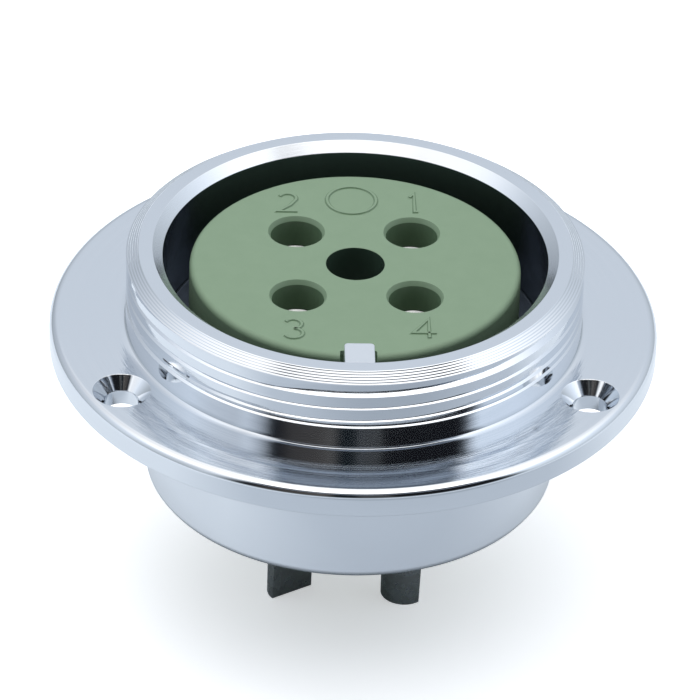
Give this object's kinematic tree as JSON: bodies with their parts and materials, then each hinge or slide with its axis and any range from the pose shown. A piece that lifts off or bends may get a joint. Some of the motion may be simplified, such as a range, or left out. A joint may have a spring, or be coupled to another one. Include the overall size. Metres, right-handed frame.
{
  "type": "circular connector",
  "caption": "Round-flanged panel receptacle with a threaded coupling barrel, a polarising key, a green moulded insert with recessed socket contacts, and solder tails behind.",
  "frame": {"origin": "centre of the flange's rear face, the face that lies on the panel", "axes": "+Z along the connector's axis, out of the mouth towards the mating plug; the polarising key is on the -Y side; contact 1 is at +X +Y and the numbers run anticlockwise seen from the front"},
  "size_m": [0.08, 0.08, 0.0498],
  "materials": {
    "chrome_plate": "bright chrome plate on a turned casting",
    "green_moulding": "matt, as moulded",
    "black_rubber": "matt",
    "spring_steel": "dark, oiled",
    "zinc_plated_steel": "bright zinc plate",
    "silver_plated_brass": "silver plate, dulled",
    "stainless_hood": "bright drawn"
  },
  "bodies": {
    "root": {"shell": "chrome_plate", "front_insulator": "green_moulding", "rear_insulator": "green_moulding", "insulator_seal": "black_rubber", "retaining_ring": "spring_steel", "clamp_screw": "zinc_plated_steel", "spring_washer": "zinc_plated_steel", "clamp_nut": "zinc_plated_steel", "contact_1": "silver_plated_brass", "contact_hood_1": "stainless_hood", "contact_2": "silver_plated_brass", "contact_hood_2": "stainless_hood", "contact_3": "silver_plated_brass", "contact_hood_3": "stainless_hood", "contact_4": "silver_plated_brass", "contact_hood_4": "stainless_hood"}
  },
  "joints": []
}
